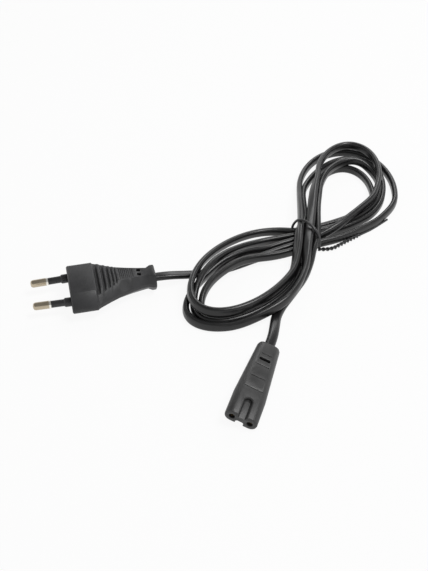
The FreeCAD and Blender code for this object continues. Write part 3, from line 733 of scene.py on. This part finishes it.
def wire_tree():
    """A tree that sweeps a wire, or a twisted pair, along the object's path."""
    group = bpy.data.node_groups.new("tie_wire", "GeometryNodeTree")
    sockets = {}
    for name, kind in WIRE_INPUTS.items():
        sockets[name] = group.interface.new_socket(name, in_out="INPUT", socket_type=kind).identifier
    group.interface.new_socket("Geometry", in_out="OUTPUT", socket_type="NodeSocketGeometry")
    start = group.nodes.new("NodeGroupInput")
    profile = wire_profile(group, start)
    path = twisted_path(group, start)
    swept = node(group, "GeometryNodeCurveToMesh", Curve=path, Profile_Curve=profile, Fill_Caps=True)
    smooth = node(group, "GeometryNodeSetShadeSmooth", Geometry=swept.outputs[0])
    real = node(group, "GeometryNodeRealizeInstances", Geometry=smooth.outputs[0])
    finish = start.outputs["Finish"]
    coated = node(group, "GeometryNodeSetMaterial", Geometry=real.outputs[0], Material=finish)
    node(group, "NodeGroupOutput", Geometry=coated.outputs[0])
    return group, sockets


tie_group, tie_sockets = wire_tree()
print("tie tree", len(tie_group.nodes), "nodes")

# %% [markdown]
# The loop lies in an upright plane across the waist, so its points are given in that plane, as a distance
# across and a height. The twisted pair and the loose tip lie beside the hank and have points on the table.
# Each is swept by the same tree with its own inputs, and the three meshes become one piece.

# %% Wire along a path
PATH_STEPS = 12


def wire_mesh(name, points, radius, closed=False, pair=False, turns=0.0):
    """A mesh of wire along a NURBS path, given in millimetres and made by the node tree."""
    places = [Vector(point) * MILLIMETRE for point in points]
    path = add_object(name, nurbs_curve(name, places, PATH_STEPS, closed))
    sweep = path.modifiers.new("wire", "NODES")
    sweep.node_group = tie_group
    inputs = {"Wire radius": radius, "Pair": pair, "Turns": turns, "Finish": finishes["tie_pvc"]}
    for socket, value in inputs.items():
        sweep[tie_sockets[socket]] = value
    return plain_mesh(path)


print("inputs of the wire:", ", ".join(tie_sockets))

# %% Tie round the waist
LOOP_RADIUS = 0.72 * MILLIMETRE
TWIST_RADIUS = 0.6 * MILLIMETRE
TWIST_TURNS = 6.0
WAIST_MIDDLE = Vector((-2.8, 114.3, 0.0))
WAIST_HEADING = math.radians(-26.6)
# The loop in the tie's own plane: distance across the waist and height.
TIE_LOOP = [
    (8.3, 0.75), (9.4, 3.0), (9.3, 7.0), (7.6, 10.2), (4.7, 12.5), (0.9, 13.8), (-3.4, 14.1),
    (-6.8, 12.4), (-9.3, 8.8), (-10.5, 5.4), (-10.6, 3.0), (-9.6, 0.75), (-4.6, 0.75), (4.2, 0.75),
]
TWISTED_END = [(5.0, 109.2, 1.2), (11.6, 110.2, 1.2), (17.2, 118.7, 1.2), (24.2, 128.5, 1.2)]
LOOSE_TIP = [(22.2, 125.8, 1.2), (25.8, 130.9, 0.8), (31.0, 138.1, 0.65), (36.7, 148.6, 0.65)]


def across_waist(x, height):
    """A point of the tie's plane in the model's frame, in millimetres."""
    return WAIST_MIDDLE + Vector((x * math.cos(WAIST_HEADING), x * math.sin(WAIST_HEADING), height))


tie_wires = [
    wire_mesh("tie_loop", [across_waist(*point) for point in TIE_LOOP], LOOP_RADIUS, closed=True),
    wire_mesh("tie_twist", TWISTED_END, TWIST_RADIUS, pair=True, turns=TWIST_TURNS),
    wire_mesh("tie_tip", LOOSE_TIP, TWIST_RADIUS),
]
joined = bmesh.new()
for wire in tie_wires:
    joined.from_mesh(wire)
bmesh.ops.recalc_face_normals(joined, faces=joined.faces)
tie = piece_from("wire_tie", joined, finishes["tie_pvc"])
print("tie faces", len(tie.data.polygons))

# %% [markdown]
# A moulding has no razor edges: where two faces meet, the mould leaves a small round, and light catches on
# it. A Bevel modifier could make it, but the solids are loose triangles, with no shared edges to round. So
# a copy of each outer solid is merged, its flat faces are joined, and its sharp edges get a narrow round.
# The copy then shades smoothly and stands for the solid.

# %% Soft edges
SHARP = math.radians(32)
FLAT = math.radians(0.6)
MERGE_DISTANCE = 0.002 * MILLIMETRE
ROUND_SEGMENTS = 2
ROUND_PROFILE = 0.5


def softened(node_name, piece_name, edge_round):
    """A copy of a solid with narrow rounds on its sharp edges and smooth shading."""
    mesh = bmesh.new()
    mesh.from_mesh(nodes[node_name].data)
    bmesh.ops.remove_doubles(mesh, verts=mesh.verts, dist=MERGE_DISTANCE)
    bmesh.ops.dissolve_limit(mesh, angle_limit=FLAT, verts=mesh.verts, edges=mesh.edges)
    if edge_round:
        sharp = [e for e in mesh.edges if e.is_manifold and e.calc_face_angle(0.0) > SHARP]
        bmesh.ops.bevel(mesh, geom=sharp, offset=edge_round, offset_type="OFFSET", segments=ROUND_SEGMENTS,
                        profile=ROUND_PROFILE, affect="EDGES", clamp_overlap=True)
    for face in mesh.faces:
        face.smooth = True
    made = piece_from(piece_name, mesh, finishes[slot_of[node_name]])
    made.data.set_sharp_from_angle(angle=SHARP)
    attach(made, "root")
    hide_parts(node_name)
    return made


print("edges sharper than", round(math.degrees(SHARP)), "degrees get a round")

# %% Mouldings, sleeves and pins
CONNECTOR_ROUND = 0.12 * MILLIMETRE
PLUG_ROUND = 0.15 * MILLIMETRE
SLEEVE_ROUND = 0.1 * MILLIMETRE
# The solid pins already have round ends.
PIN_ROUND = 0.0

softened("connector_body", "connector_moulding", CONNECTOR_ROUND)
on_plug = [softened("plug_body", "plug_moulding", PLUG_ROUND)]
for side in ("near", "far"):
    on_plug.append(softened("pin_sleeve_" + side, "sleeve_" + side, SLEEVE_ROUND))
    on_plug.append(softened("plug_pin_" + side, "pin_" + side, PIN_ROUND))
print("softened the connector and", len(on_plug), "pieces of the plug")

# %% [markdown]
# Last, each new piece is tied to the body it moves with, and the solids that the cord and the tie
# stand in for are hidden.

# %% Bind the pieces and hide the solids they replace
for piece, slot in ((cord, "cord_pvc"), (tie, "tie_pvc")):
    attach(piece, "root")
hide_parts("cord_connector_tail", "cord_hank", "cord_plug_tail")
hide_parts("twist_tie")
